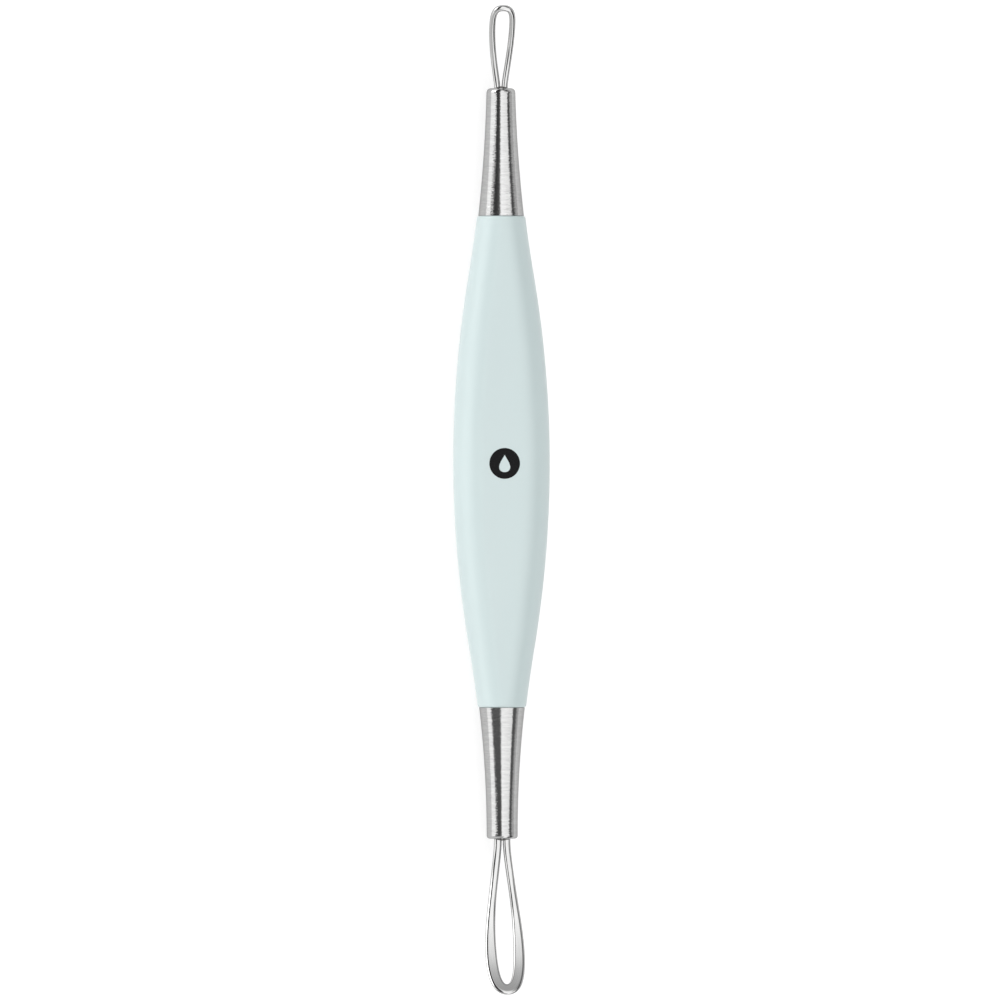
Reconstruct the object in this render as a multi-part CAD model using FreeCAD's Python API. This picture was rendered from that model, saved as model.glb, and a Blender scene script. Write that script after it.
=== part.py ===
import FreeCAD, Part
import math
import os

# Double-ended blackhead extractor: an oval moulded grip, a turned steel ferrule bonded into
# each end of it, and a wire loop brazed into each ferrule.
# Millimetres. The tool lies on its back: +Y runs along it towards the small loop and +Z is up.
# Both loops curve upwards. The origin is under the middle of the tool, on the surface it lies on.

# Grip: a flat oval with plane front and back in the middle, and all but round at both ends
grip_length = 62.2
grip_width = 12.25
grip_depth = 7.0
grip_end_width = 6.1
grip_end_depth = 6.0
grip_end_round = 0.3
grip_end_slope_share = 0.125
grip_crown_share = 0.75
grip_plane_share = 0.5
grip_face_skim = 0.005

# Ferrules: flared outside, a grooved tang with one flat behind, a blind bore in the tip
ferrule_base_diameter = 5.8
ferrule_base_break = 0.1
tang_diameter = 3.6
tang_length = 12.0
tang_chamfer = 0.4
tang_flat_depth = 0.35
groove_count = 2
groove_width = 1.2
groove_depth = 0.25
small_ferrule_length = 16.15
small_ferrule_tip_diameter = 3.65
small_ferrule_hollow = 0.18
small_ferrule_tip_round = 0.65
large_ferrule_length = 16.6
large_ferrule_tip_diameter = 3.95
large_ferrule_hollow = 0.25
large_ferrule_tip_round = 0.45

# Sockets in the grip, each one the tang with room for adhesive round it
bond_gap = 0.05
socket_end_gap = 0.8
socket_lead_in = 0.3

# Small loop: round wire bent to a narrow eye
small_wire_diameter = 0.79
small_loop_width = 3.32
small_loop_reach = 10.06
small_leg_gap = 0.18
small_leg_depth = 8.0
small_bend_angle = 34.0
small_waist_share = 0.76
small_start_share = 0.11
small_swell_share = 0.44
small_tip_share = 0.75

# Large loop: flattened wire bent to a wide eye, pressed wider and thinner round the tip
large_wire_width = 0.98
large_wire_thickness = 0.72
large_loop_width = 5.08
large_loop_reach = 18.97
large_leg_gap = 0.14
large_leg_depth = 9.0
large_bend_angle = 32.0
large_waist_share = 0.7
large_start_share = 0.2
large_swell_share = 0.385
large_tip_share = 0.695
large_flat_width = 1.5
large_flat_thickness = 0.5
large_flat_start_share = 0.3
large_flat_end_share = 0.86

# Filler metal: capillary room round the legs, depth of the fill and its dome at the mouth
braze_gap = 0.04
braze_depth = 5.0
braze_dome = 0.25
leg_end_gap = 0.4

# Cuts run past the faces they open by this much
overrun = 1.0

# Stations along half the grip, round its end edge, along a leg and along half a tip
grip_stations = 10
edge_stations = 2
leg_stations = 6
tip_stations = 6

FORWARD = FreeCAD.Vector(0, 1, 0)
UP = FreeCAD.Vector(0, 0, 1)


def flat_oval(half_wide, half_high, place):
    """Closed outline of two half circles, with straight sides between where it is wider than high.

    place turns a distance across and a distance up into a point of the outline's plane.
    """
    reach = half_wide - half_high
    corners = [place(side * reach, end * half_high) for side, end in ((1, -1), (1, 1), (-1, 1), (-1, -1))]
    right = Part.Arc(corners[0], place(half_wide, 0), corners[1]).toShape()
    left = Part.Arc(corners[2], place(-half_wide, 0), corners[3]).toShape()
    if reach == 0:
        return Part.Wire([right, left])
    top = Part.makeLine(corners[1], corners[2])
    bottom = Part.makeLine(corners[3], corners[0])
    return Part.Wire([right, top, left, bottom])


def grip_half_width(along):
    """Half width of the grip at a distance from its middle.

    A parabola falls from the middle, and from the crown's end a second one, tangent to it,
    runs out to the end width at the end slope.
    """
    half = grip_length / 2
    turn = half * grip_crown_share
    rest = half - turn
    fall = ((grip_width - grip_end_width) / 2 - grip_end_slope_share * rest / 2) / (turn * half)
    if along <= turn:
        return grip_width / 2 - fall * along ** 2
    curl = (2 * fall * turn - grip_end_slope_share) / (2 * rest)
    return grip_end_width / 2 + grip_end_slope_share * (half - along) + curl * (half - along) ** 2


def eased(share):
    """Smooth step from 0 to 1, level at both ends."""
    share = min(max(share, 0), 1)
    return share ** 2 * (3 - 2 * share)


def grip_section(along, inset):
    """Outline of the grip at a signed distance from its middle, drawn in by an inset."""
    half_wide = grip_half_width(abs(along)) - inset
    share = abs(along) / (grip_length / 2)
    taper = eased((share - grip_plane_share) / (1 - grip_plane_share))
    middle_depth = grip_depth + 2 * grip_face_skim
    half_high = (middle_depth + (grip_end_depth - middle_depth) * taper) / 2 - inset
    return flat_oval(half_wide, half_high, lambda wide, high: FreeCAD.Vector(wide, along, high))


def rod(radius, start, stop):
    """Round bar on the tool's axis between two places along it."""
    return Part.makeCylinder(radius, stop - start, FORWARD * start, FORWARD)


def keyed_rod(radius, flat_height, start, stop):
    """Round bar with one flat on its upper side."""
    size = 2 * radius + 2 * overrun
    corner = FreeCAD.Vector(-size / 2, start - overrun, flat_height)
    return rod(radius, start, stop).cut(Part.makeBox(size, stop - start + 2 * overrun, size, corner))


def socket():
    """Room for one tang, cut inwards from an end face of the grip at zero."""
    radius = tang_diameter / 2 + bond_gap
    flat_height = tang_diameter / 2 - tang_flat_depth + bond_gap
    hole = keyed_rod(radius, flat_height, -tang_length - socket_end_gap, overrun)
    wide = radius + socket_lead_in
    lead_in = Part.makeCone(radius, wide, socket_lead_in, -FORWARD * socket_lead_in, FORWARD)
    return hole.fuse(lead_in)


def make_grip():
    """Barrel lofted through close sections, skimmed plane in front and behind, with two sockets."""
    half = grip_length / 2
    stations = [((half - grip_end_round) * index / grip_stations, 0) for index in range(grip_stations + 1)]
    for index in range(1, edge_stations + 1):
        angle = math.pi / 2 * index / edge_stations
        along = half - grip_end_round * (1 - math.sin(angle))
        stations.append((along, grip_end_round * (1 - math.cos(angle))))
    sections = [grip_section(-along, inset) for along, inset in reversed(stations[1:])]
    sections += [grip_section(along, inset) for along, inset in stations]
    corner = FreeCAD.Vector(-grip_width / 2 - overrun, -half - overrun, -grip_depth / 2)
    slab = Part.makeBox(grip_width + 2 * overrun, grip_length + 2 * overrun, grip_depth, corner)
    barrel = Part.makeLoft(sections, True, True).common(slab)
    near = socket()
    near.translate(FORWARD * half)
    far = socket()
    far.rotate(FreeCAD.Vector(), UP, 180)
    far.translate(-FORWARD * half)
    return barrel.cut(near).cut(far)


def make_ferrule(length, tip_diameter, tip_round, hollow, bore_radius, bore_depth):
    """Ferrule standing on the grip's end face at zero, its tang running back from there."""
    base = ferrule_base_diameter / 2
    tip = tip_diameter / 2

    def flare(place):
        share = place / length
        return base + (tip - base) * share - 4 * hollow * share * (1 - share)

    start = FreeCAD.Vector(flare(ferrule_base_break), ferrule_base_break, 0)
    middle = FreeCAD.Vector(flare(length / 2), length / 2, 0)
    shoulder = length - tip_round
    lip = FreeCAD.Vector(flare(shoulder), shoulder, 0)
    nose = FreeCAD.Vector(flare(length) - tip_round, length, 0)
    rim = Part.BezierCurve()
    rim.setPoles([lip, FreeCAD.Vector(flare(length), length, 0), nose])
    foot = FreeCAD.Vector(base - ferrule_base_break, 0, 0)
    outline = Part.Wire([
        Part.makeLine(FreeCAD.Vector(), foot),
        Part.makeLine(foot, start),
        Part.Arc(start, middle, lip).toShape(),
        rim.toShape(),
        Part.makeLine(nose, FORWARD * length),
        Part.makeLine(FORWARD * length, FreeCAD.Vector()),
    ])
    head = Part.Face(outline).revolve(FreeCAD.Vector(), FORWARD, 360)
    body = head.fuse(make_tang()).removeSplitter()
    return body.cut(rod(bore_radius, length - bore_depth, length + overrun))


def make_tang():
    """Tang running back from zero: chamfered end, one flat and evenly spaced grooves."""
    radius = tang_diameter / 2
    tang = keyed_rod(radius, radius - tang_flat_depth, -tang_length, ferrule_base_break)
    cone = Part.makeCone(radius - tang_chamfer, radius, tang_chamfer, -FORWARD * tang_length, FORWARD)
    tang = tang.common(cone.fuse(rod(radius, tang_chamfer - tang_length, ferrule_base_break)))
    pitch = tang_length / (groove_count + 1)
    for index in range(groove_count):
        start = -pitch * (index + 1) - groove_width / 2
        ring = rod(radius + overrun, start, start + groove_width)
        tang = tang.cut(ring.cut(rod(radius - groove_depth, start, start + groove_width)))
    return tang


def bezier(ends, share):
    """Place and direction on a cubic curve at a share of its run."""
    keep = 1 - share
    place = ends[0] * keep ** 3 + ends[1] * (3 * keep ** 2 * share)
    place += ends[2] * (3 * keep * share ** 2) + ends[3] * share ** 3
    run = (ends[1] - ends[0]) * keep ** 2 + (ends[2] - ends[1]) * (2 * keep * share)
    run += (ends[3] - ends[2]) * share ** 2
    return place, run.normalize()


def half_path(start, waist, reach, waist_share, start_share, swell_share, tip_share):
    """Places and directions along half a loop, across and along its sheet, out to the tip.

    One curve swells from the leg to the waist, and one closes from the waist round the tip.
    """
    turn = reach * waist_share
    rest = reach - turn
    leg = [
        FreeCAD.Vector(start, 0, 0),
        FreeCAD.Vector(start, turn * start_share, 0),
        FreeCAD.Vector(waist, turn * (1 - swell_share), 0),
        FreeCAD.Vector(waist, turn, 0),
    ]
    tip = [
        FreeCAD.Vector(waist, turn, 0),
        FreeCAD.Vector(waist, turn + rest * tip_share, 0),
        FreeCAD.Vector(waist * tip_share, reach, 0),
        FreeCAD.Vector(0, reach, 0),
    ]
    steps = [bezier(leg, index / leg_stations) for index in range(leg_stations)]
    steps += [bezier(tip, index / tip_stations) for index in range(tip_stations + 1)]
    return steps


def mirrored(vector):
    """The same vector on the other side of the tool's middle plane."""
    return FreeCAD.Vector(-vector.x, vector.y, vector.z)


def whole_path(half):
    """Places and directions round a whole loop: out along the left side and back along the right."""
    left = [(mirrored(place), mirrored(run)) for place, run in half]
    right = [(place, -run) for place, run in reversed(half[:-1])]
    return left + right


def bent_wire(path, bend_radius, leg_start, leg_end, shape_at):
    """Wire with two straight legs and a loop on a sheet that curves upwards from the legs' end.

    shape_at gives the half width and the half thickness of the section for a place along the sheet.
    """
    sections = []
    for place, run in path:
        turn = place.y / bend_radius
        rise = FreeCAD.Vector(0, math.cos(turn), math.sin(turn))
        lift = FreeCAD.Vector(0, -math.sin(turn), math.cos(turn))
        middle = FreeCAD.Vector(place.x, leg_end, 0)
        middle += FreeCAD.Vector(0, math.sin(turn), 1 - math.cos(turn)) * bend_radius
        half_wide, half_thick = shape_at(place.y)
        side = FreeCAD.Vector(-run.y, 0, 0) + rise * run.x
        section = flat_oval(half_wide, half_thick, lambda wide, thick: middle + side * wide + lift * thick)
        sections.append(section)
    back = FORWARD * (leg_start - leg_end)
    legs = [Part.Face(section).extrude(back) for section in (sections[0], sections[-1])]
    return Part.makeLoft(sections, True, True).fuse(legs), legs


def make_small_loop():
    """Round wire with a narrow eye, and its two legs on their own."""
    radius = small_wire_diameter / 2
    bend = math.radians(small_bend_angle)
    bend_radius = (small_loop_reach - braze_dome) / math.sin(bend)
    half = half_path(small_leg_gap / 2 + radius, small_loop_width / 2 - radius, bend_radius * bend,
                     small_waist_share, small_start_share, small_swell_share, small_tip_share)
    leg_start = small_ferrule_length - small_leg_depth
    leg_end = small_ferrule_length + braze_dome
    return bent_wire(whole_path(half), bend_radius, leg_start, leg_end, lambda along: (radius, radius))


def make_large_loop():
    """Flattened wire with a wide eye, pressed wider and thinner round the tip, and its two legs."""
    bend = math.radians(large_bend_angle)
    bend_radius = (large_loop_reach - braze_dome) / math.sin(bend)
    reach = bend_radius * bend
    half = half_path((large_leg_gap + large_wire_width) / 2, (large_loop_width - large_flat_width) / 2, reach,
                     large_waist_share, large_start_share, large_swell_share, large_tip_share)

    def pressed(along):
        span = large_flat_end_share - large_flat_start_share
        share = eased((along / reach - large_flat_start_share) / span)
        half_wide = (large_wire_width + (large_flat_width - large_wire_width) * share) / 2
        half_thick = (large_wire_thickness + (large_flat_thickness - large_wire_thickness) * share) / 2
        return half_wide, half_thick

    leg_start = large_ferrule_length - large_leg_depth
    leg_end = large_ferrule_length + braze_dome
    return bent_wire(whole_path(half), bend_radius, leg_start, leg_end, pressed)


def make_braze(legs, bore_radius, length):
    """Filler round the legs: the bore down to the fill's depth, with a shallow dome outside."""
    ball = (bore_radius ** 2 + braze_dome ** 2) / (2 * braze_dome)
    dome = Part.makeSphere(ball, FORWARD * (length + braze_dome - ball))
    dome = dome.common(rod(bore_radius, length, length + braze_dome + overrun))
    fill = rod(bore_radius, length - braze_depth, length).fuse(dome).removeSplitter()
    return fill.cut(legs)


def make_small_end():
    """Ferrule, loop and filler of the small-loop end, by node name."""
    bore_radius = small_leg_gap / 2 + small_wire_diameter + braze_gap
    loop, legs = make_small_loop()
    ferrule = make_ferrule(small_ferrule_length, small_ferrule_tip_diameter, small_ferrule_tip_round,
                           small_ferrule_hollow, bore_radius, small_leg_depth + leg_end_gap)
    braze = make_braze(legs, bore_radius, small_ferrule_length)
    return {"small_loop_ferrule": ferrule, "small_loop": loop, "small_loop_braze": braze}


def make_large_end():
    """Ferrule, loop and filler of the large-loop end, by node name."""
    bore_radius = large_leg_gap / 2 + large_wire_width + braze_gap
    loop, legs = make_large_loop()
    ferrule = make_ferrule(large_ferrule_length, large_ferrule_tip_diameter, large_ferrule_tip_round,
                           large_ferrule_hollow, bore_radius, large_leg_depth + leg_end_gap)
    braze = make_braze(legs, bore_radius, large_ferrule_length)
    return {"large_loop_ferrule": ferrule, "large_loop": loop, "large_loop_braze": braze}


def make_tool():
    """All pieces by node name, with the origin under the middle of the whole tool."""
    pieces = {"grip": make_grip()}
    for name, piece in make_small_end().items():
        piece.translate(FORWARD * grip_length / 2)
        pieces[name] = piece
    for name, piece in make_large_end().items():
        piece.rotate(FreeCAD.Vector(), UP, 180)
        piece.translate(-FORWARD * grip_length / 2)
        pieces[name] = piece
    box = Part.Compound(list(pieces.values())).optimalBoundingBox()
    for piece in pieces.values():
        piece.translate(FreeCAD.Vector(-box.Center.x, -box.Center.y, -box.ZMin))
    return pieces


os.makedirs("parts", exist_ok=True)
for node, shape in make_tool().items():
    shape.exportStep("parts/" + node + ".step")
    print(node, len(shape.Solids), shape.isValid(), round(shape.Volume, 3))
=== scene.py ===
"""Double-ended blackhead extractor: its pieces, their finishes and a plain studio round them.

Metres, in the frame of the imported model. The tool lies on its back: +Y runs along it towards the
small loop, +X is to its right and +Z is up. Both loops curve upwards.
"""
import math

import bpy
import numpy as np
from bpy.props import FloatProperty, FloatVectorProperty, IntProperty, PointerProperty
from mathutils import Matrix, Vector


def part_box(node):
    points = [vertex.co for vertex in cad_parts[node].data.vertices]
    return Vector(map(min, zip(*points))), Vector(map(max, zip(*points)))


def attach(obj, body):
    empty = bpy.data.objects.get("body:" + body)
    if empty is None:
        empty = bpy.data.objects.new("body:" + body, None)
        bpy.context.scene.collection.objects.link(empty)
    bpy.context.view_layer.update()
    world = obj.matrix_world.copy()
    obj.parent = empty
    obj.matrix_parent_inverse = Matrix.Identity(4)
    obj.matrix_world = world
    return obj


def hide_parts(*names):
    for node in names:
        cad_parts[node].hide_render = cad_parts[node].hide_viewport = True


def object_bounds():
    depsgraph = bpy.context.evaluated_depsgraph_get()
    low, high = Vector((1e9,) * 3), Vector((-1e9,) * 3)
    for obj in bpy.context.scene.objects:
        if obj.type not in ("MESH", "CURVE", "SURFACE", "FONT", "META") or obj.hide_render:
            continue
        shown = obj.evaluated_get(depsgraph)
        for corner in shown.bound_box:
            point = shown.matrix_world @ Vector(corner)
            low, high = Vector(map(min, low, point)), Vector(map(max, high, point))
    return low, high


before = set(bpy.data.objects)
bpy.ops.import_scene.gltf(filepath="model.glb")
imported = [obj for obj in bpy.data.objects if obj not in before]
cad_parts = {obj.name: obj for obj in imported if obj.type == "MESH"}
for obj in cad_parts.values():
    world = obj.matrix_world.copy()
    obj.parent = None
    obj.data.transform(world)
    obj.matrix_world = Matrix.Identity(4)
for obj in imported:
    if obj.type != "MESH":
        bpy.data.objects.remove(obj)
CAD_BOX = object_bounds()

bl_info = {
    "name": "Blackhead Extractor",
    "version": (1, 0, 0),
    "blender": (4, 5, 0),
    "location": "View3D > Sidebar > Extractor",
    "description": "Builds a double-ended blackhead extractor with its finishes and a studio",
    "category": "Add Mesh",
}

MM = 0.001
DEGREE = math.pi / 180
BODY = "root"
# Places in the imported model
GRIP_LOW, GRIP_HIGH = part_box("grip")
GRIP_MIDDLE = (GRIP_LOW.y + GRIP_HIGH.y) / 2
AXIS_HEIGHT = (GRIP_LOW.z + GRIP_HIGH.z) / 2
SMALL_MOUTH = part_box("small_loop_ferrule")[1].y
LARGE_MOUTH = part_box("large_loop_ferrule")[0].y
SMALL_LEG_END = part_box("small_loop")[0].y
LARGE_LEG_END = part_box("large_loop")[1].y


def metres(name, description, default):
    """Property for a length in metres."""
    return FloatProperty(name=name, description=description, default=default, min=0,
                         precision=5, unit="LENGTH")


def share(name, description, default):
    """Property for a share between nothing and all."""
    return FloatProperty(name=name, description=description, default=default, min=0, max=1,
                         subtype="FACTOR")


def angle(name, description, default):
    """Property for an angle, with its default in degrees."""
    return FloatProperty(name=name, description=description, default=default * DEGREE,
                         unit="ROTATION")


def colour(name, description, default):
    """Property for a linear colour."""
    return FloatVectorProperty(name=name, description=description, default=default, size=3,
                               min=0, max=1, subtype="COLOR")


class GripSizes(bpy.types.PropertyGroup):
    """Sizes of the oval grip and of the sockets in its ends."""
    length: metres("Length", "Between the two end faces", GRIP_HIGH.y - GRIP_LOW.y)
    width: metres("Width", "Across the middle", GRIP_HIGH.x - GRIP_LOW.x)
    depth: metres("Depth", "Between the plane front and back", GRIP_HIGH.z - GRIP_LOW.z)
    end_width: metres("End width", "Across an end", 6.1 * MM)
    end_depth: metres("End depth", "Front to back at an end", 6.0 * MM)
    end_round: metres("End round", "Radius of the end's edge", 0.3 * MM)
    end_slope: share("End slope", "Half width gained for each length at an end", 0.125)
    crown_share: share("Crown", "Share of the half length with the middle curve", 0.75)
    plane_share: share("Plane", "Share of the half length at full depth", 0.5)
    bond_gap: metres("Bond gap", "Room for adhesive round a tang", 0.05 * MM)
    socket_end_gap: metres("Socket end gap", "Room behind a tang", 0.8 * MM)
    socket_lead_in: metres("Socket lead-in", "Chamfer at a socket's mouth", 0.3 * MM)


class MarkSizes(bpy.types.PropertyGroup):
    """Sizes of the printed spot on the grip's front."""
    diameter: metres("Diameter", "Across the printed spot", 3.9 * MM)
    below_middle: metres("Below middle", "From the grip's middle towards the large loop", 0.23 * MM)
    film: metres("Film", "Thickness of the ink above the grip", 0.008 * MM)
    bite: metres("Bite", "Depth of the ink below the grip's face", 0.004 * MM)
    drop_width: metres("Drop width", "Across the clear drop in the spot", 1.4 * MM)
    drop_height: metres("Drop height", "Height of the clear drop in the spot", 2.2 * MM)


class FerruleSizes(bpy.types.PropertyGroup):
    """Sizes of the two turned ferrules."""
    base_diameter: metres("Base diameter", "At the grip", 5.8 * MM)
    base_break: metres("Base break", "Broken edge at the grip", 0.02 * MM)
    small_tip_diameter: metres("Small tip", "Mouth at the small loop", 3.65 * MM)
    small_hollow: metres("Small hollow", "Hollow of the flare at the small loop", 0.18 * MM)
    small_tip_round: metres("Small tip round", "Rounding of the mouth's outer edge", 0.65 * MM)
    large_tip_diameter: metres("Large tip", "Mouth at the large loop", 3.95 * MM)
    large_hollow: metres("Large hollow", "Hollow of the flare at the large loop", 0.25 * MM)
    large_tip_round: metres("Large tip round", "Rounding of the mouth's outer edge", 0.45 * MM)
    tang_diameter: metres("Tang diameter", "Tang inside the grip", 3.6 * MM)
    tang_length: metres("Tang length", "Tang inside the grip", 12.0 * MM)
    tang_chamfer: metres("Tang chamfer", "At the tang's end", 0.4 * MM)
    tang_flat: metres("Tang flat", "Depth of the flat that keys the tang", 0.35 * MM)
    groove_count: IntProperty(name="Grooves", description="Grooves round a tang", default=2, min=0)
    groove_width: metres("Groove width", "Along the tang", 1.2 * MM)
    groove_depth: metres("Groove depth", "Into the tang", 0.25 * MM)
    leg_end_gap: metres("Leg end gap", "Room in the bore behind the wire's legs", 0.4 * MM)
    braze_gap: metres("Braze gap", "Room for filler round the wire's legs", 0.04 * MM)
    braze_dome: metres("Braze dome", "Height of the filler at the mouth", 0.25 * MM)


class SmallLoopSizes(bpy.types.PropertyGroup):
    """Sizes of the round wire with the narrow eye."""
    wire_diameter: metres("Wire diameter", "Round wire", 0.79 * MM)
    width: metres("Width", "Across the loop", 3.32 * MM)
    reach: metres("Reach", "From the mouth to the wire's middle at the tip", 10.06 * MM)
    leg_gap: metres("Leg gap", "Between the two legs", 0.18 * MM)
    bend: angle("Bend", "Upward turn from the mouth to the tip", 34)
    waist_share: share("Waist", "Share of the loop below its widest place", 0.76)
    start_share: share("Start", "How long the legs stay close", 0.11)
    swell_share: share("Swell", "How gently the legs reach the waist", 0.44)
    tip_share: share("Tip", "How square the tip is", 0.75)


class LargeLoopSizes(bpy.types.PropertyGroup):
    """Sizes of the flattened wire with the wide eye, pressed wider and thinner round the tip."""
    wire_width: metres("Wire width", "Across a leg", 0.98 * MM)
    wire_thickness: metres("Wire thickness", "Front to back of a leg", 0.72 * MM)
    width: metres("Width", "Across the loop", 5.08 * MM)
    reach: metres("Reach", "From the mouth to the band's middle at the tip", 18.97 * MM)
    leg_gap: metres("Leg gap", "Between the two legs", 0.14 * MM)
    bend: angle("Bend", "Upward turn from the mouth to the tip", 32)
    waist_share: share("Waist", "Share of the loop below its widest place", 0.7)
    start_share: share("Start", "How long the legs stay close", 0.2)
    swell_share: share("Swell", "How gently the legs reach the waist", 0.385)
    tip_share: share("Tip", "How square the tip is", 0.695)
    flat_width: metres("Flat width", "Across the pressed band", 1.5 * MM)
    flat_thickness: metres("Flat thickness", "Front to back of the pressed band", 0.5 * MM)
    flat_start_share: share("Flat start", "Where the pressing starts", 0.3)
    flat_end_share: share("Flat end", "Where the pressing is full", 0.86)
    outer_round: metres("Outer round", "Width of the rounding on the outer edge", 0.42 * MM)
    inner_share: share("Inner round", "Width of the inner edge's rounding in half thicknesses", 1.0)


class FinishColours(bpy.types.PropertyGroup):
    """Colours of the finishes and of the floor."""
    grip: colour("Grip", "Pale mint plastic", (0.604, 0.703, 0.703))
    grip_shade: colour("Grip shade", "Darker cloud in the mint plastic", (0.588, 0.688, 0.690))
    ink: colour("Ink", "Printed spot", (0.006, 0.006, 0.006))
    ink_thin: colour("Thin ink", "Where the printed film is thin", (0.016, 0.016, 0.017))
    steel: colour("Steel", "Turned ferrules", (0.500, 0.500, 0.498))
    steel_line: colour("Steel line", "Turning lines in the ferrules", (0.390, 0.390, 0.388))
    wire: colour("Wire", "Polished loop wire", (0.500, 0.500, 0.498))
    wire_line: colour("Wire line", "Drawing marks in the wire", (0.450, 0.450, 0.448))
    braze: colour("Filler", "Filler metal at the mouths", (0.240, 0.232, 0.222))
    braze_stain: colour("Filler stain", "Tarnish in the filler metal", (0.060, 0.057, 0.054))
    floor: colour("Floor", "Plain pale floor", (0.820, 0.820, 0.820))


class StudioSizes(bpy.types.PropertyGroup):
    """The camera's view, the floor's size and the strength of the light."""
    view_width: metres("View width", "Width of the picture at the tool's axis", 126.5 * MM)
    lens: FloatProperty(name="Lens", description="Focal length in millimetres", default=1000, min=1,
                        unit="CAMERA")
    tilt: angle("Tilt", "Lean of the camera to the tool's left", 6.5)
    roll: angle("Roll", "Turn of the camera round its own line of sight", 0.1)
    aim_right: FloatProperty(name="Aim right", description="Picture's middle from the axis",
                             default=-0.202 * MM, unit="LENGTH", precision=5)
    aim_up: FloatProperty(name="Aim up", description="Picture's middle along the tool",
                          default=-0.033 * MM, unit="LENGTH", precision=5)
    floor_width: metres("Floor width", "Side of the square floor", 5.0)
    light_level: FloatProperty(name="Light", description="Strength of the soft boxes", default=1.87,
                               min=0)


class ExtractorSettings(bpy.types.PropertyGroup):
    """All sizes and colours of the extractor."""
    grip: PointerProperty(type=GripSizes)
    mark: PointerProperty(type=MarkSizes)
    ferrule: PointerProperty(type=FerruleSizes)
    small_loop: PointerProperty(type=SmallLoopSizes)
    large_loop: PointerProperty(type=LargeLoopSizes)
    colours: PointerProperty(type=FinishColours)
    studio: PointerProperty(type=StudioSizes)


# Shapes

# Angle between two faces from which their edge is sharp
SHARP_ANGLE = 30 * DEGREE
# Rings along each piece, and steps round a ring
GRIP_HALF_RINGS, GRIP_EDGE_RINGS = 141, 8
GRIP_ARC_STEPS, GRIP_FLAT_STEPS = 40, 24
SPOT_RINGS, SPOT_STEPS = 160, 9
FLARE_RINGS, RIM_RINGS, FERRULE_STEPS = 61, 11, 128
LEG_RINGS, TIP_RINGS = 72, 56
WIRE_STEPS = 64
BAND_ARC_STEPS, BAND_FLAT_STEPS = 28, 10
# Printed drop: sharpness of its point, and width of its outline before it is scaled
DROP_POINT = 1.5
DROP_OUTLINE = 1.4
# Name of the attribute that holds a wire's straightened places
STRAIGHTENED = "straightened"


def eased(part):
    """Smooth step 3 p^2 - 2 p^3 of a part held between 0 and 1."""
    part = np.clip(part, 0, 1)
    return part ** 2 * (3 - 2 * part)


def oval_columns(arc_steps, flat_steps):
    """Weights of the columns once round a flat oval, from the bottom of its right arc.

    A column's point is reach * side + radius * across to the right and radius * up upwards. Side
    is 1 on the right half circle and -1 on the left one, and runs evenly between on the flats.
    """
    turn = np.linspace(-np.pi / 2, np.pi / 2, arc_steps + 1)
    flat = np.linspace(1, -1, flat_steps + 1)[1:-1]
    arc_side = np.ones_like(turn)
    side = np.concatenate([arc_side, flat, -arc_side, -flat])
    across = np.concatenate([np.cos(turn), 0 * flat, -np.cos(turn), 0 * flat])
    up = np.concatenate([np.sin(turn), 0 * flat + 1, -np.sin(turn), 0 * flat - 1])
    return side, across, up


def round_columns(steps):
    """Cosine and sine of even steps once round a circle, from its bottom."""
    turn = np.linspace(-np.pi / 2, 3 * np.pi / 2, steps, endpoint=False)
    return np.cos(turn), np.sin(turn)


def round_rings(along, radius, flat_height, steps):
    """Circles of given radii on the tool's axis, each cut off level above its flat height."""
    cosine, sine = round_columns(steps)
    across = radius[:, None] * cosine
    up = np.minimum(radius[:, None] * sine, flat_height[:, None])
    return np.stack([across, np.broadcast_to(along[:, None], across.shape), up], axis=-1)


def grip_rings(grip, ferrule):
    """Rings of the grip from the floor of one socket, over the outside, to the floor of the other.

    Half width: w/2 - k a^2 out to the crown's end, then a tangent parabola down to the end width at
    the end slope. Half depth: full over the plane part, then a smooth step down to the end depth.
    Each ring is a flat oval of that width and depth, and the last ones draw in round a quarter
    circle at the end's edge.
    """
    half = grip.length / 2
    turn = half * grip.crown_share
    rest = half - turn
    fall = ((grip.width - grip.end_width) / 2 - grip.end_slope * rest / 2) / (turn * half)
    curl = (2 * fall * turn - grip.end_slope) / (2 * rest)
    edge = np.linspace(0, np.pi / 2, GRIP_EDGE_RINGS)[1:]
    along = np.linspace(0, half - grip.end_round, GRIP_HALF_RINGS)
    inset = np.concatenate([0 * along, grip.end_round * (1 - np.cos(edge))])
    along = np.concatenate([along, half - grip.end_round * (1 - np.sin(edge))])
    out = half - along
    crown = grip.width / 2 - fall * along ** 2
    flank = grip.end_width / 2 + grip.end_slope * out + curl * out ** 2
    wide = np.where(along <= turn, crown, flank) - inset
    taper = eased((along / half - grip.plane_share) / (1 - grip.plane_share))
    high = (grip.depth + (grip.end_depth - grip.depth) * taper) / 2 - inset
    along = np.concatenate([-along[:0:-1], along])[:, None]
    wide = np.concatenate([wide[:0:-1], wide])[:, None]
    high = np.concatenate([high[:0:-1], high])[:, None]
    side, across, up = oval_columns(GRIP_ARC_STEPS, GRIP_FLAT_STEPS)
    skin = np.stack([(wide - high) * side + high * across, along + 0 * side, high * up], axis=-1)
    radius = ferrule.tang_diameter / 2 + grip.bond_gap
    key = radius - ferrule.tang_flat
    floor = half - ferrule.tang_length - grip.socket_end_gap
    places = np.array([half, half - grip.socket_lead_in, floor])
    radii = np.array([radius + grip.socket_lead_in, radius, radius])
    socket = round_rings(places, radii, np.array([radii[0], key, key]), side.size)
    rings = np.concatenate([socket[::-1] * (1, -1, 1), skin, socket])
    return rings + (0, GRIP_MIDDLE, AXIS_HEIGHT)


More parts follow.
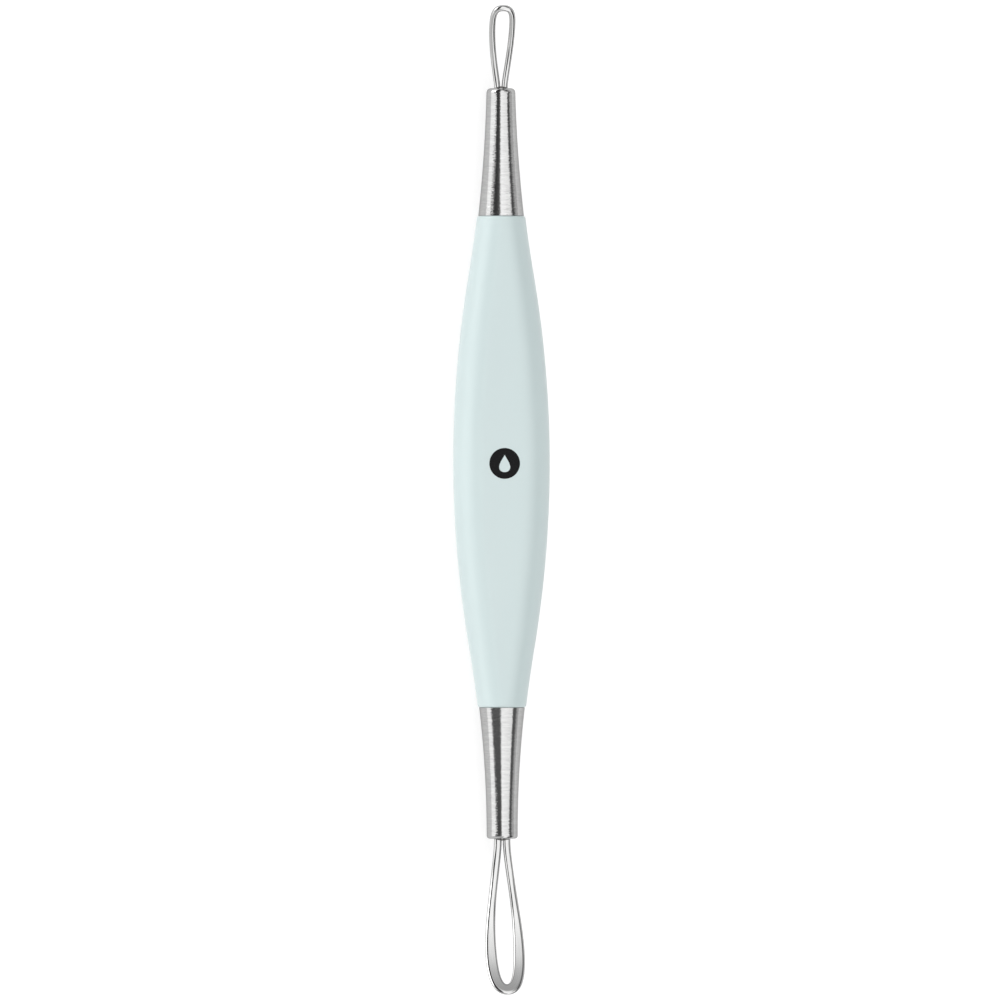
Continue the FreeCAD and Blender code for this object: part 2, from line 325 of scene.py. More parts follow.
def mark_rings(mark):
    """Rings of the printed spot's film, closed on themselves: one for each place round the spot.

    The outer edge is a circle. The inner edge is a drop: across it goes by sin t * sin(t/2)^1.5,
    and along by cos t of its half height, with its point towards the small loop.
    """
    turn = np.linspace(0, 2 * np.pi, SPOT_RINGS, endpoint=False)
    circle = np.stack([np.sin(turn), np.cos(turn)], axis=-1) * mark.diameter / 2
    bulge = np.sin(turn) * np.sin(turn / 2) ** DROP_POINT * mark.drop_width / DROP_OUTLINE
    drop = np.stack([bulge, np.cos(turn) * mark.drop_height / 2], axis=-1)
    steps = np.linspace(0, 1, SPOT_STEPS)[None, :, None]
    sheet = drop[:, None] * (1 - steps) + circle[:, None] * steps
    top = np.concatenate([sheet, np.full(sheet.shape[:2] + (1,), mark.film)], axis=-1)
    bottom = np.concatenate([sheet, np.full(sheet.shape[:2] + (1,), -mark.bite)], axis=-1)
    place = (0, GRIP_MIDDLE - mark.below_middle, GRIP_HIGH.z)
    return np.concatenate([top, bottom[:, ::-1]], axis=1) + place


def ferrule_rings(sizes, tip_diameter, tip_round, hollow, reach, bore_radius, bore_depth):
    """Rings of a ferrule on an end face at zero, from its tang's end to its bore's floor.

    The flare's radius at a part s of its length is base + (tip - base) s - 4 hollow s (1 - s), the
    rim is a parabola from the shoulder to the mouth, and the tang has grooves and one flat.
    """
    base = sizes.base_diameter / 2
    tip = tip_diameter / 2
    tang = sizes.tang_diameter / 2
    pitch = sizes.tang_length / (sizes.groove_count + 1)
    starts = -pitch * np.arange(sizes.groove_count, 0, -1) - sizes.groove_width / 2
    steps = np.array([0, 0, sizes.groove_width, sizes.groove_width])
    groove_along = (starts[:, None] + steps).ravel()
    groove_deep = np.tile([0, sizes.groove_depth, sizes.groove_depth, 0], sizes.groove_count)
    tang_along = np.concatenate([[-sizes.tang_length, sizes.tang_chamfer - sizes.tang_length],
                                 groove_along, [0]])
    tang_radius = np.concatenate([[tang - sizes.tang_chamfer, tang], tang - groove_deep, [tang]])
    flare_along = np.linspace(sizes.base_break, reach - tip_round, FLARE_RINGS)
    part = flare_along / reach
    flare_radius = base + (tip - base) * part - 4 * hollow * part * (1 - part)
    bow = np.linspace(0, 1, RIM_RINGS)[1:]
    keep = 1 - bow
    lip = flare_radius[-1]
    rim_along = reach - tip_round * keep ** 2
    rim_radius = lip * keep ** 2 + 2 * tip * keep * bow + (tip - tip_round) * bow ** 2
    along = np.concatenate([tang_along, [0], flare_along, rim_along, [reach, reach - bore_depth]])
    radius = np.concatenate([tang_radius, [base - sizes.base_break], flare_radius, rim_radius,
                             [bore_radius, bore_radius]])
    flat = np.full(along.size, base)
    flat[:tang_along.size] = tang - sizes.tang_flat
    return round_rings(along, radius, flat, FERRULE_STEPS)


def cubic(ends, part):
    """Places and unit directions on a cubic curve that four control points draw.

    The points' weights at a part p of the curve are (1-p)^3, 3 (1-p)^2 p, 3 (1-p) p^2 and p^3.
    """
    part = part[:, None]
    keep = 1 - part
    place = (ends[0] * keep ** 3 + 3 * ends[1] * keep ** 2 * part + 3 * ends[2] * keep * part ** 2
             + ends[3] * part ** 3)
    run = ((ends[1] - ends[0]) * keep ** 2 + 2 * (ends[2] - ends[1]) * keep * part
           + (ends[3] - ends[2]) * part ** 2)
    return place, run / np.linalg.norm(run, axis=1, keepdims=True)


def loop_path(sizes, start, waist, reach):
    """Places and directions round a loop on its flat sheet: out on the left, back on the right.

    One cubic swells from the leg to the waist and one closes from the waist round the tip. The
    right side is the left one mirrored and run backwards.
    """
    turn = reach * sizes.waist_share
    rest = reach - turn
    leg = np.array([(start, 0), (start, turn * sizes.start_share),
                    (waist, turn * (1 - sizes.swell_share)), (waist, turn)])
    tip = np.array([(waist, turn), (waist, turn + rest * sizes.tip_share),
                    (waist * sizes.tip_share, reach), (0, reach)])
    leg_place, leg_run = cubic(leg, np.linspace(0, 1, LEG_RINGS))
    tip_place, tip_run = cubic(tip, np.linspace(0, 1, TIP_RINGS)[1:])
    place = np.concatenate([leg_place, tip_place])
    run = np.concatenate([leg_run, tip_run])
    places = np.concatenate([place * (-1, 1), place[-2::-1]])
    runs = np.concatenate([run * (-1, 1), -run[-2::-1]])
    return places, runs


def loop_rings(path, bend_radius, leg_start, leg_end, half_wide, half_thick, edges, columns):
    """Rings of a wire along a path on a sheet that rolls up round a cylinder from the legs' end.

    A place s along the sheet is at bend_radius * sin(s / bend_radius) along the tool and
    bend_radius * (1 - cos) above its axis. A ring lies across the wire, its thickness square to
    the sheet. Its two edges are half ovals, as wide as the outer and the inner value of edges, with
    flats between. The straight legs run back from the first and the last ring. The second result
    holds each point's place in the straightened wire: across it, along it and through it.
    """
    places, runs = path
    turn = places[:, 1] / bend_radius
    none = np.zeros_like(turn)
    rise = np.stack([none, np.cos(turn), np.sin(turn)], axis=-1)
    lift = np.stack([none, -np.sin(turn), np.cos(turn)], axis=-1)
    height = bend_radius * (1 - np.cos(turn))
    middle = np.stack([places[:, 0], leg_end + bend_radius * np.sin(turn), height], axis=-1)
    side = np.stack([-runs[:, 1], none, none], axis=-1) + rise * runs[:, :1]
    outer, inner = (edge[:, None] for edge in edges)
    flat_part, edge_part, up_part = columns
    flat = (half_wide[:, None] - (outer + inner) / 2) * flat_part + (inner - outer) / 2
    wide = flat + outer * np.maximum(edge_part, 0) + inner * np.minimum(edge_part, 0)
    thick = half_thick[:, None] * up_part
    rings = middle[:, None] + side[:, None] * wide[..., None] + lift[:, None] * thick[..., None]
    back = (0, leg_start - leg_end, 0)
    rings = np.concatenate([rings[:1] + back, rings, rings[-1:] + back])
    steps = np.linalg.norm(np.diff(rings.mean(axis=1), axis=0), axis=1)
    along = np.concatenate([[0], np.cumsum(steps)])[:, None]
    wide = np.concatenate([wide[:1], wide, wide[-1:]])
    thick = np.concatenate([thick[:1], thick, thick[-1:]])
    return rings, np.stack([wide, along + 0 * wide, thick], axis=-1)


def at_small_end(rings):
    """Rings placed on the grip's end face towards the small loop."""
    return rings + (0, GRIP_HIGH.y, AXIS_HEIGHT)


def at_large_end(rings):
    """Rings turned half round and placed on the grip's end face towards the large loop."""
    return rings * (-1, -1, 1) + (0, GRIP_LOW.y, AXIS_HEIGHT)


def make_piece(name, rings, material, wrapped=False, straightened=None):
    """Closed skin over a stack of rings, made to face outwards.

    Quads join neighbouring rings. The first and last ring are joined too where the stack is
    wrapped, and otherwise each is closed by a fan round its middle. A skin whose volume comes out
    negative is turned round.
    """
    rows, columns = rings.shape[:2]
    index = np.arange(rows * columns).reshape(rows, columns)
    points = rings.reshape(-1, 3)
    if wrapped:
        index = np.concatenate([index, index[:1]])
    ring = np.roll(index, -1, axis=1)
    quads = np.stack([index[:-1], ring[:-1], ring[1:], index[1:]], axis=-1).reshape(-1, 4)
    fans = np.zeros((0, 3), int)
    if not wrapped:
        points = np.concatenate([points, rings[[0, -1]].mean(axis=1)])
        poles = np.full((2, columns), rows * columns) + [[0], [1]]
        fans = np.concatenate([np.stack([poles[0], ring[0], index[0]], axis=-1),
                               np.stack([poles[1], index[-1], ring[-1]], axis=-1)])
    corners = points[np.concatenate([quads[:, :3], quads[:, [0, 2, 3]], fans])]
    swept = np.einsum("ij,ij->", corners[:, 0], np.cross(corners[:, 1], corners[:, 2]))
    if swept < 0:
        quads = quads[:, ::-1]
        fans = fans[:, ::-1]
    mesh = bpy.data.meshes.new(name)
    mesh.from_pydata(points.tolist(), [], quads.tolist() + fans.tolist())
    mesh.shade_smooth()
    mesh.set_sharp_from_angle(angle=SHARP_ANGLE)
    if straightened is not None:
        flat = np.concatenate([straightened.reshape(-1, 3), straightened[[0, -1]].mean(axis=1)])
        layer = mesh.attributes.new(STRAIGHTENED, "FLOAT_VECTOR", "POINT")
        layer.data.foreach_set("vector", flat.astype(np.float32).ravel())
    mesh.materials.append(material)
    piece = bpy.data.objects.new(name, mesh)
    bpy.context.scene.collection.objects.link(piece)
    return piece


# Finishes

# Usual spread of a noise factor
NOISE_LOW, NOISE_HIGH = 0.3, 0.7
# Sockets of a node that mixes colours
MIX_FACTOR, MIX_FIRST, MIX_SECOND, MIX_RESULT = 0, 6, 7, 2
# Height of the ferrules' grain against that of their tool marks
GRAIN_HEIGHT = 1.2
# What steel keeps of its mirrored light near grazing
GRAZING_STEEL = 0.6
# Floor: level of its darker fibres, and its paleness and glow where it is seen
FLOOR_FIBRE = 0.98
FLOOR_PALE = 0.38
FLOOR_GLOW = 0.72


def grey(level):
    """Opaque grey of a level."""
    return level, level, level, 1


def fill_inputs(tree, node, inputs):
    """Links each input that is given a socket, and sets each that is given a value."""
    for key, value in inputs.items():
        if isinstance(value, bpy.types.NodeSocket):
            tree.links.new(value, node.inputs[key])
        else:
            node.inputs[key].default_value = value


def add_node(tree, kind, inputs, **settings):
    """Adds a node with its settings and its inputs."""
    node = tree.nodes.new(kind)
    for key, value in settings.items():
        setattr(node, key, value)
    fill_inputs(tree, node, inputs)
    return node


def worked(tree, operation, first, second):
    """Result of one sum on two values or sockets."""
    return add_node(tree, "ShaderNodeMath", {0: first, 1: second}, operation=operation).outputs[0]


def new_finish(name):
    """Material with nothing in it but its principled shader and output."""
    material = bpy.data.materials.get(name) or bpy.data.materials.new(name)
    material.use_nodes = True
    tree = material.node_tree
    tree.nodes.clear()
    shader = tree.nodes.new("ShaderNodeBsdfPrincipled")
    add_node(tree, "ShaderNodeOutputMaterial", {"Surface": shader.outputs["BSDF"]})
    return material, tree, shader


def cloud(tree, place, stretch, detail=2.0, roughness=0.5):
    """Noise over a place that is stretched along its three directions, in features per metre."""
    mapping = add_node(tree, "ShaderNodeMapping", {"Vector": place, "Scale": stretch})
    noise = add_node(tree, "ShaderNodeTexNoise", {
        "Vector": mapping.outputs["Vector"],
        "Scale": 1.0,
        "Detail": detail,
        "Roughness": roughness,
    })
    return noise.outputs["Fac"]


def between(tree, factor, low, high):
    """Value that goes from low to high as a noise factor goes over its usual spread."""
    spread = add_node(tree, "ShaderNodeMapRange", {
        "Value": factor,
        "From Min": NOISE_LOW,
        "From Max": NOISE_HIGH,
        "To Min": low,
        "To Max": high,
    })
    return spread.outputs["Result"]


def tinted(tree, factor, first, second):
    """Colour that goes from the first to the second as a noise factor goes over its spread."""
    mix = add_node(tree, "ShaderNodeMix", {
        MIX_FACTOR: between(tree, factor, 0.0, 1.0),
        MIX_FIRST: (*first, 1),
        MIX_SECOND: (*second, 1),
    }, data_type="RGBA")
    return mix.outputs[MIX_RESULT]


def relief(tree, height, strength, depth):
    """Normal bent by a height, for fine texture only."""
    bump = add_node(tree, "ShaderNodeBump", {
        "Height": height,
        "Strength": strength,
        "Distance": depth,
    })
    return bump.outputs["Normal"]


def object_place(tree):
    """Place on the piece in metres."""
    return tree.nodes.new("ShaderNodeTexCoord").outputs["Object"]


def grip_plastic(colours):
    """Satin moulded plastic: faint clouds of colour and a fine spark-eroded grain."""
    material, tree, shader = new_finish("grip_plastic")
    place = object_place(tree)
    clouds = cloud(tree, place, stretch=(90, 45, 90), detail=3.0)
    grain = cloud(tree, place, stretch=(7000, 7000, 7000), detail=3.0, roughness=0.6)
    fill_inputs(tree, shader, {
        "Base Color": tinted(tree, clouds, colours.grip, colours.grip_shade),
        "Roughness": between(tree, grain, low=0.28, high=0.36),
        "Normal": relief(tree, grain, strength=0.25, depth=0.004 * MM),
        "IOR": 1.49,
    })
    return material


def mark_ink(colours):
    """Pad-printed ink: dense black with thin places and a slight tooth."""
    material, tree, shader = new_finish("mark_ink")
    thin = cloud(tree, object_place(tree), stretch=(5000, 5000, 5000), detail=4.0, roughness=0.65)
    fill_inputs(tree, shader, {
        "Base Color": tinted(tree, thin, colours.ink, colours.ink_thin),
        "Roughness": between(tree, thin, low=0.42, high=0.56),
        "Normal": relief(tree, thin, strength=0.2, depth=0.003 * MM),
        "Specular IOR Level": 0.05,
    })
    return material


def ferrule_steel(colours):
    """Turned steel: fine broken lines round the axis, broader bands of tool marks and a grain."""
    material, tree, shader = new_finish("ferrule_steel")
    place = object_place(tree)
    lines = cloud(tree, place, stretch=(1100, 9000, 1100), detail=3.0, roughness=0.6)
    bands = cloud(tree, place, stretch=(500, 3500, 500), detail=3.0, roughness=0.6)
    grain = cloud(tree, place, stretch=(2400, 5200, 2400), detail=1.5, roughness=0.6)
    marks = worked(tree, "DIVIDE", worked(tree, "ADD", lines, bands), 2)
    height = worked(tree, "ADD", marks, worked(tree, "MULTIPLY", grain, GRAIN_HEIGHT))
    fill_inputs(tree, shader, {
        "Base Color": tinted(tree, marks, colours.steel, colours.steel_line),
        "Roughness": between(tree, grain, low=0.05, high=0.13),
        "Normal": relief(tree, height, strength=0.8, depth=0.014 * MM),
        "Metallic": 1.0,
        "Specular Tint": grey(GRAZING_STEEL),
    })
    return material


def loop_wire(colours):
    """Polished drawn wire: faint drawing marks that run along it."""
    material, tree, shader = new_finish("loop_wire")
    place = add_node(tree, "ShaderNodeAttribute", {}, attribute_name=STRAIGHTENED).outputs["Vector"]
    marks = cloud(tree, place, stretch=(9000, 260, 9000), detail=3.0, roughness=0.6)
    fill_inputs(tree, shader, {
        "Base Color": tinted(tree, marks, colours.wire, colours.wire_line),
        "Roughness": between(tree, marks, low=0.06, high=0.13),
        "Normal": relief(tree, marks, strength=0.12, depth=0.002 * MM),
        "Metallic": 1.0,
        "Specular Tint": grey(GRAZING_STEEL),
    })
    return material


def braze_filler(colours):
    """Filler metal: dull silver with tarnish and small ripples from its flow."""
    material, tree, shader = new_finish("braze_filler")
    place = object_place(tree)
    stain = cloud(tree, place, stretch=(1600, 1600, 1600), detail=4.0, roughness=0.65)
    ripple = cloud(tree, place, stretch=(4000, 4000, 4000))
    fill_inputs(tree, shader, {
        "Base Color": tinted(tree, stain, colours.braze, colours.braze_stain),
        "Roughness": between(tree, ripple, low=0.26, high=0.44),
        "Normal": relief(tree, ripple, strength=0.35, depth=0.01 * MM),
        "Metallic": 1.0,
    })
    return material


def seen_directly(tree):
    """Factor of 1 for camera, glossy and transmission rays, and of 0 for light that diffuses."""
    path = tree.nodes.new("ShaderNodeLightPath")
    seen = path.outputs["Is Camera Ray"]
    for name in ("Is Glossy Ray", "Is Transmission Ray"):
        seen = worked(tree, "MAXIMUM", seen, path.outputs[name])
    return seen


def floor_paper(colours):
    """Pale paper that reads as white where it is seen, and still holds the tool's shadow."""
    material, tree, shader = new_finish("floor_paper")
    fibre = cloud(tree, object_place(tree), stretch=(900, 900, 900), detail=4.0, roughness=0.6)
    darker = [part * FLOOR_FIBRE for part in colours.floor]
    fill_inputs(tree, shader, {
        "Base Color": tinted(tree, fibre, colours.floor, darker),
        "Roughness": 0.9,
        "Specular IOR Level": 0.0,
    })
    pale = add_node(tree, "ShaderNodeBsdfDiffuse", {"Color": grey(FLOOR_PALE)})
    glow = add_node(tree, "ShaderNodeEmission", {"Color": grey(1), "Strength": FLOOR_GLOW})
    sheet = add_node(tree, "ShaderNodeAddShader", {0: pale.outputs[0], 1: glow.outputs[0]})
    mixed = add_node(tree, "ShaderNodeMixShader", {
        0: seen_directly(tree),
        1: shader.outputs[0],
        2: sheet.outputs[0],
    })
    output = next(node for node in tree.nodes if node.type == "OUTPUT_MATERIAL")
    fill_inputs(tree, output, {"Surface": mixed.outputs[0]})
    return material


# Light

# Levels round the tool's axis, by degrees to the right of the camera's own direction
LIGHT_ROUND_AXIS = (
    (-180, 0.42), (-101, 0.45), (-92, 0.85), (-84, 1.0), (-30.5, 1.0), (-28, 0.03), (-12, 0.045),
    (-4.5, 0.12), (-1, 1.06), (46, 0.88), (48.5, 0.05), (61, 0.07), (72, 0.42), (180, 0.42),
)
# The same for light from far towards the large loop, and towards the small one
LIGHT_FROM_LARGE_END = (
    (-180, 0.5), (-35, 0.55), (0, 0.42), (12, 0.5), (17, 1.2), (46, 1.1), (49, 0.03), (95, 0.05),
    (180, 0.1),
)
LIGHT_FROM_SMALL_END = (
    (-180, 0.42), (-101, 0.45), (-92, 2.0), (-84, 2.4), (-47, 2.4), (-43, 0.03), (-12, 0.045),
    (-4.5, 0.12), (-1, 1.06), (24, 1.0), (30, 0.45), (46, 0.4), (48.5, 0.05), (61, 0.07),
    (72, 0.42), (180, 0.42),
)
# Levels along the tool, by the sine of the angle towards the small loop
LIGHT_ALONG_AXIS = (
    (-1, 0.9), (0.5, 1.0), (0.6, 0.88), (0.72, 0.76), (0.82, 0.48), (0.88, 0.36), (1, 0.3),
)
# Shares of the light from the two ends, by the same sine
LARGE_END_SHARE = ((-1, 1.0), (-0.42, 1.0), (-0.28, 0.0), (1, 0.0))
SMALL_END_SHARE = ((-1, 0.0), (0.25, 0.0), (0.35, 1.0), (1, 1.0))
# How far the dark gaps open, by the same sine, and the shares of it to the left and the right
GAP_OPENING = (
    (-1, 0.0), (-0.5, 0.0), (-0.3, 1.3), (-0.22, 1.29), (-0.15, 1.08), (-0.07, 0.85), (-0.01, 0.52),
    (0.04, 0.1), (0.1, 0.25), (0.157, 0.65), (0.185, 1.0), (0.21, 1.25), (0.28, 1.3), (0.5, 0.0),
    (1, 0.0),
)
LEFT_OPENING = 0.8
RIGHT_OPENING = 0.2
# Lowest level in the gaps, by the same sine
GAP_LEVEL = ((-1, 0.03), (-0.4, 0.03), (-0.25, 0.1), (-0.03, 0.075), (0.03, 0.03), (1, 0.03))
# Highest level that a ramp of light holds
RAMP_TOP = 4.0


def level_ramp(tree, value, stops):
    """Level read at a value from a list of stops, straight from each stop to the next."""
    low, high = stops[0][0], stops[-1][0]
    part = worked(tree, "DIVIDE", worked(tree, "SUBTRACT", value, low), high - low)
    ramp = add_node(tree, "ShaderNodeValToRGB", {"Fac": part})
    elements = ramp.color_ramp.elements
    while len(elements) < len(stops):
        elements.new(0.5)  # anywhere, as the next loop puts every stop in its place
    for element, (place, level) in zip(elements, stops):
        element.position = (place - low) / (high - low)
        element.color = grey(level / RAMP_TOP)
    return worked(tree, "MULTIPLY", ramp.outputs["Color"], RAMP_TOP)


def light_world(world, level, tilt):
    """Two long soft boxes beside the tool's axis with dark gaps between, and white behind it all.

    A direction's level comes from its angle round the tool's axis, measured from the camera's own
    direction. The gaps open out to both sides of the middle, light from far towards either loop
    has a pattern of its own, and all of it fades towards the small loop.
    """
    world.use_nodes = True
    tree = world.node_tree
    tree.nodes.clear()
    direction = tree.nodes.new("ShaderNodeTexCoord").outputs["Generated"]
    split = add_node(tree, "ShaderNodeSeparateXYZ", {"Vector": direction})
    along = split.outputs["Y"]
    turn = worked(tree, "ARCTAN2", split.outputs["X"], split.outputs["Z"])
    turn = worked(tree, "MULTIPLY", worked(tree, "ADD", turn, tilt), 1 / DEGREE)
    opening = level_ramp(tree, along, GAP_OPENING)
    on_left = worked(tree, "LESS_THAN", turn, 0.0)
    most = worked(tree, "MULTIPLY", on_left, LEFT_OPENING - RIGHT_OPENING)
    most = worked(tree, "ADD", most, RIGHT_OPENING)
    opened = worked(tree, "ADD", worked(tree, "MULTIPLY", opening, most), 1.0)
    bright = level_ramp(tree, worked(tree, "DIVIDE", turn, opened), LIGHT_ROUND_AXIS)
    for stops, shares in ((LIGHT_FROM_LARGE_END, LARGE_END_SHARE),
                          (LIGHT_FROM_SMALL_END, SMALL_END_SHARE)):
        change = worked(tree, "SUBTRACT", level_ramp(tree, turn, stops), bright)
        change = worked(tree, "MULTIPLY", change, level_ramp(tree, along, shares))
        bright = worked(tree, "ADD", bright, change)
    bright = worked(tree, "MULTIPLY", bright, level_ramp(tree, along, LIGHT_ALONG_AXIS))
    bright = worked(tree, "MAXIMUM", bright, level_ramp(tree, along, GAP_LEVEL))
    strength = worked(tree, "MULTIPLY", bright, level)
    boxes = add_node(tree, "ShaderNodeBackground", {"Color": grey(1), "Strength": strength})
    white = add_node(tree, "ShaderNodeBackground", {"Color": grey(1), "Strength": 1.0})
    path = tree.nodes.new("ShaderNodeLightPath")
    mixed = add_node(tree, "ShaderNodeMixShader", {
        0: path.outputs["Is Camera Ray"],
        1: boxes.outputs[0],
        2: white.outputs[0],
    })
    add_node(tree, "ShaderNodeOutputWorld", {"Surface": mixed.outputs[0]})


# Operators

# Camera: width of its sensor in millimetres, and how far it sees in metres
SENSOR_WIDTH = 36
SIGHT = 50


class EXTRACTOR_OT_grip(bpy.types.Operator):
    """Build the oval grip with a keyed socket in each end"""
    bl_idname = "extractor.grip"
    bl_label = "Grip"

    def execute(self, context):
        settings = context.scene.extractor
        rings = grip_rings(settings.grip, settings.ferrule)
        piece = make_piece("grip_moulding", rings, grip_plastic(settings.colours))
        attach(piece, BODY)
        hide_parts("grip")
        return {"FINISHED"}


class EXTRACTOR_OT_mark(bpy.types.Operator):
    """Print a plain spot with a clear drop in it on the grip's front"""
    bl_idname = "extractor.mark"
    bl_label = "Printed spot"

    def execute(self, context):
        settings = context.scene.extractor
        rings = mark_rings(settings.mark)
        piece = make_piece("grip_printed_spot", rings, mark_ink(settings.colours), wrapped=True)
        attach(piece, BODY)
        return {"FINISHED"}


class EXTRACTOR_OT_ferrules(bpy.types.Operator):
    """Turn the two ferrules"""
    bl_idname = "extractor.ferrules"
    bl_label = "Ferrules"

    def execute(self, context):
        settings = context.scene.extractor
        sizes = settings.ferrule
        material = ferrule_steel(settings.colours)
        small = settings.small_loop
        small_bore = small.leg_gap / 2 + small.wire_diameter + sizes.braze_gap
        small_depth = SMALL_MOUTH - SMALL_LEG_END + sizes.leg_end_gap
        rings = ferrule_rings(sizes, sizes.small_tip_diameter, sizes.small_tip_round,
                              sizes.small_hollow, SMALL_MOUTH - GRIP_HIGH.y,
                              small_bore, small_depth)
        self.place("small_loop_ferrule", at_small_end(rings), material)
        large = settings.large_loop
        large_bore = large.leg_gap / 2 + large.wire_width + sizes.braze_gap
        large_depth = LARGE_LEG_END - LARGE_MOUTH + sizes.leg_end_gap
        rings = ferrule_rings(sizes, sizes.large_tip_diameter, sizes.large_tip_round,
                              sizes.large_hollow, GRIP_LOW.y - LARGE_MOUTH,
                              large_bore, large_depth)
        self.place("large_loop_ferrule", at_large_end(rings), material)
        return {"FINISHED"}

    def place(self, node, rings, material):
        """Makes the turning that stands for a ferrule's node."""
        piece = make_piece(node + "_turning", rings, material)
        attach(piece, BODY)
        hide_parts(node)


class EXTRACTOR_OT_loops(bpy.types.Operator):
    """Bend the two wire loops"""
    bl_idname = "extractor.loops"
    bl_label = "Loops"

    def execute(self, context):
        settings = context.scene.extractor
        material = loop_wire(settings.colours)
        self.place("small_loop", at_small_end, self.small(settings), material)
        self.place("large_loop", at_large_end, self.large(settings), material)
        return {"FINISHED"}

    def small(self, settings):
        """Round wire all the way."""
        sizes = settings.small_loop
        radius = sizes.wire_diameter / 2
        leg_start = SMALL_LEG_END - GRIP_HIGH.y
        leg_end = SMALL_MOUTH - GRIP_HIGH.y + settings.ferrule.braze_dome
        bend_radius = (sizes.reach - settings.ferrule.braze_dome) / math.sin(sizes.bend)
        waist = sizes.width / 2 - radius
        path = loop_path(sizes, sizes.leg_gap / 2 + radius, waist, bend_radius * sizes.bend)
        half = np.full(len(path[0]), radius)
        cosine, sine = round_columns(WIRE_STEPS)
        return loop_rings(path, bend_radius, leg_start, leg_end, half, half, (half, half),
                          (0 * cosine, cosine, sine))

    def large(self, settings):
        """Flattened wire that goes by a smooth step into a wider, thinner band round the tip."""
        sizes = settings.large_loop
        leg_start = GRIP_LOW.y - LARGE_LEG_END
        leg_end = GRIP_LOW.y - LARGE_MOUTH + settings.ferrule.braze_dome
        bend_radius = (sizes.reach - settings.ferrule.braze_dome) / math.sin(sizes.bend)
        sheet = bend_radius * sizes.bend
        waist = (sizes.width - sizes.flat_width) / 2
        path = loop_path(sizes, (sizes.leg_gap + sizes.wire_width) / 2, waist, sheet)
        span = sizes.flat_end_share - sizes.flat_start_share
        pressed = eased((path[0][:, 1] / sheet - sizes.flat_start_share) / span)
        wide = (sizes.wire_width + (sizes.flat_width - sizes.wire_width) * pressed) / 2
        thick = (sizes.wire_thickness + (sizes.flat_thickness - sizes.wire_thickness) * pressed) / 2
        edges = (np.full(wide.size, sizes.outer_round), thick * sizes.inner_share)
        columns = oval_columns(BAND_ARC_STEPS, BAND_FLAT_STEPS)
        return loop_rings(path, bend_radius, leg_start, leg_end, wide, thick, edges, columns)

    def place(self, node, set_down, made, material):
        """Sets the rings of a wire down at its end, and makes the wire that stands for its node."""
        rings, straightened = made
        piece = make_piece(node + "_wire", set_down(rings), material, straightened=straightened)
        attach(piece, BODY)
        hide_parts(node)


class EXTRACTOR_OT_braze(bpy.types.Operator):
    """Finish the filler metal at the two mouths"""
    bl_idname = "extractor.braze"
    bl_label = "Filler metal"

    def execute(self, context):
        material = braze_filler(context.scene.extractor.colours)
        for node in ("small_loop_braze", "large_loop_braze"):
            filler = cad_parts[node]
            if not filler.material_slots:
                raise RuntimeError(node + " has no place for its finish")
            filler.material_slots[0].material = material
        return {"FINISHED"}


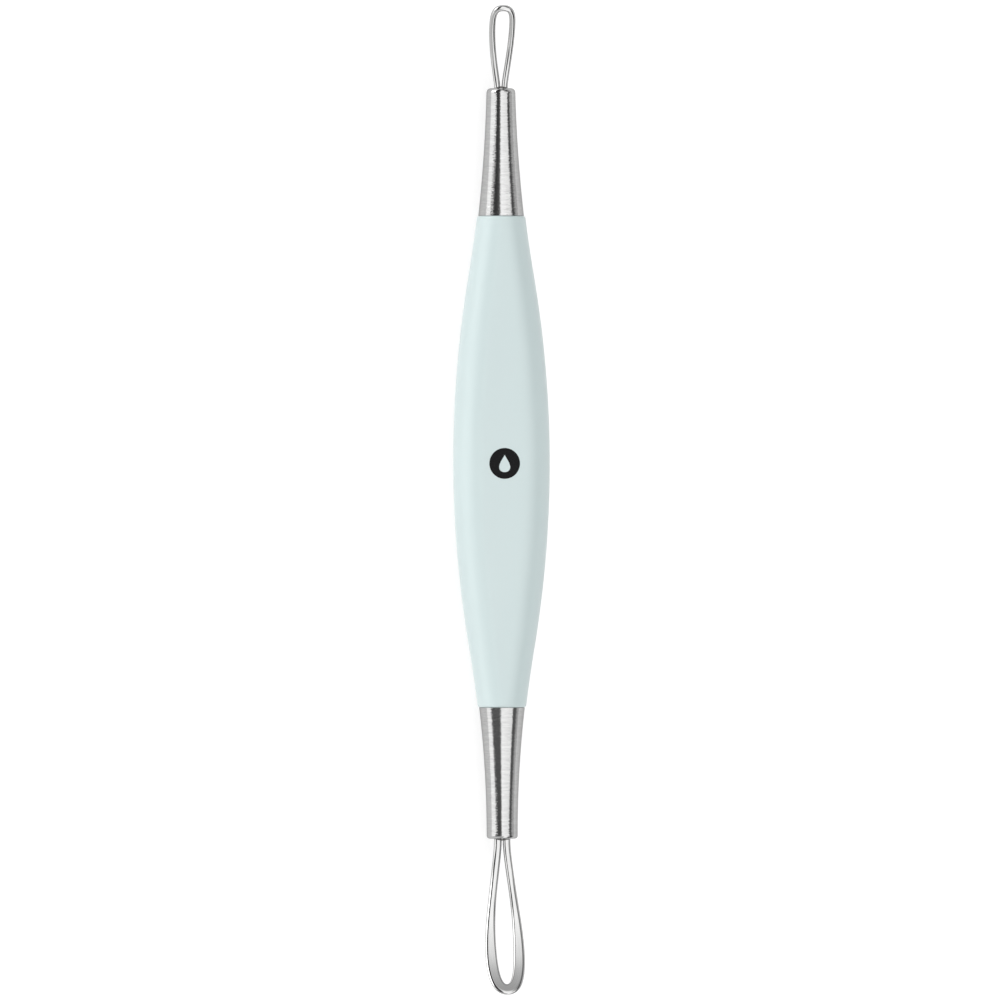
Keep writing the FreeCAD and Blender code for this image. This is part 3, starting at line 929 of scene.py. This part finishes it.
class EXTRACTOR_OT_stage(bpy.types.Operator):
    """Set up the floor, the light and the camera"""
    bl_idname = "extractor.stage"
    bl_label = "Studio"

    def execute(self, context):
        scene = context.scene
        settings = scene.extractor
        studio = settings.studio
        scene.view_settings.view_transform = "Standard"
        self.lay_floor(scene, studio.floor_width / 2, floor_paper(settings.colours))
        if scene.world is None:
            scene.world = bpy.data.worlds.new("studio")
        light_world(scene.world, studio.light_level, studio.tilt)
        self.place_camera(scene, studio)
        return {"FINISHED"}

    def lay_floor(self, scene, half, material):
        """Lays a level square under the tool, from minus half to half each way."""
        mesh = bpy.data.meshes.new("floor")
        corners = half * np.array([(-1, -1, 0), (1, -1, 0), (1, 1, 0), (-1, 1, 0)])
        mesh.from_pydata((corners + (0, 0, CAD_BOX[0].z)).tolist(), [], [(0, 1, 2, 3)])
        mesh.materials.append(material)
        floor = bpy.data.objects.new("floor", mesh)
        scene.collection.objects.link(floor)

    def place_camera(self, scene, studio):
        """Looks down on the tool from its left, the small loop at the top of the picture."""
        data = bpy.data.cameras.new("camera")
        data.lens = studio.lens
        data.sensor_width = SENSOR_WIDTH
        data.clip_end = SIGHT
        back = Vector((-math.sin(studio.tilt), 0, math.cos(studio.tilt)))
        level = Vector((0, 1, 0)).cross(back)
        up = Vector((0, math.cos(studio.roll), 0)) + level * math.sin(studio.roll)
        right = up.cross(back)
        aim = Vector((0, 0, AXIS_HEIGHT)) + right * studio.aim_right + up * studio.aim_up
        distance = studio.view_width * data.lens / data.sensor_width
        turned = Matrix((right, up, back)).transposed().to_4x4()
        camera = bpy.data.objects.new("camera", data)
        camera.matrix_world = Matrix.Translation(aim + back * distance) @ turned
        scene.collection.objects.link(camera)
        scene.camera = camera


class EXTRACTOR_PT_panel(bpy.types.Panel):
    """Sizes, colours and building steps of the extractor"""
    bl_idname = "EXTRACTOR_PT_panel"
    bl_label = "Blackhead Extractor"
    bl_space_type = "VIEW_3D"
    bl_region_type = "UI"
    bl_category = "Extractor"

    def draw(self, context):
        settings = context.scene.extractor
        for operator in OPERATORS:
            self.layout.operator(operator.bl_idname)
        for name in ExtractorSettings.__annotations__:
            box = self.layout.box()
            box.label(text=name.replace("_", " ").capitalize())
            group = getattr(settings, name)
            for key in type(group).__annotations__:
                box.prop(group, key)


OPERATORS = (
    EXTRACTOR_OT_grip,
    EXTRACTOR_OT_mark,
    EXTRACTOR_OT_ferrules,
    EXTRACTOR_OT_loops,
    EXTRACTOR_OT_braze,
    EXTRACTOR_OT_stage,
)
CLASSES = (
    GripSizes,
    MarkSizes,
    FerruleSizes,
    SmallLoopSizes,
    LargeLoopSizes,
    FinishColours,
    StudioSizes,
    ExtractorSettings,
    *OPERATORS,
    EXTRACTOR_PT_panel,
)


def register():
    """Registers the classes and hangs the settings on the scene."""
    for cls in CLASSES:
        bpy.utils.register_class(cls)
    bpy.types.Scene.extractor = PointerProperty(type=ExtractorSettings)


def unregister():
    """Takes away what register added."""
    del bpy.types.Scene.extractor
    for cls in reversed(CLASSES):
        bpy.utils.unregister_class(cls)


def main():
    """Builds the pieces and the stage."""
    register()
    bpy.ops.extractor.grip()
    bpy.ops.extractor.mark()
    bpy.ops.extractor.ferrules()
    bpy.ops.extractor.loops()
    bpy.ops.extractor.braze()
    bpy.ops.extractor.stage()
    bpy.context.view_layer.update()


if __name__ == "__main__":
    main()
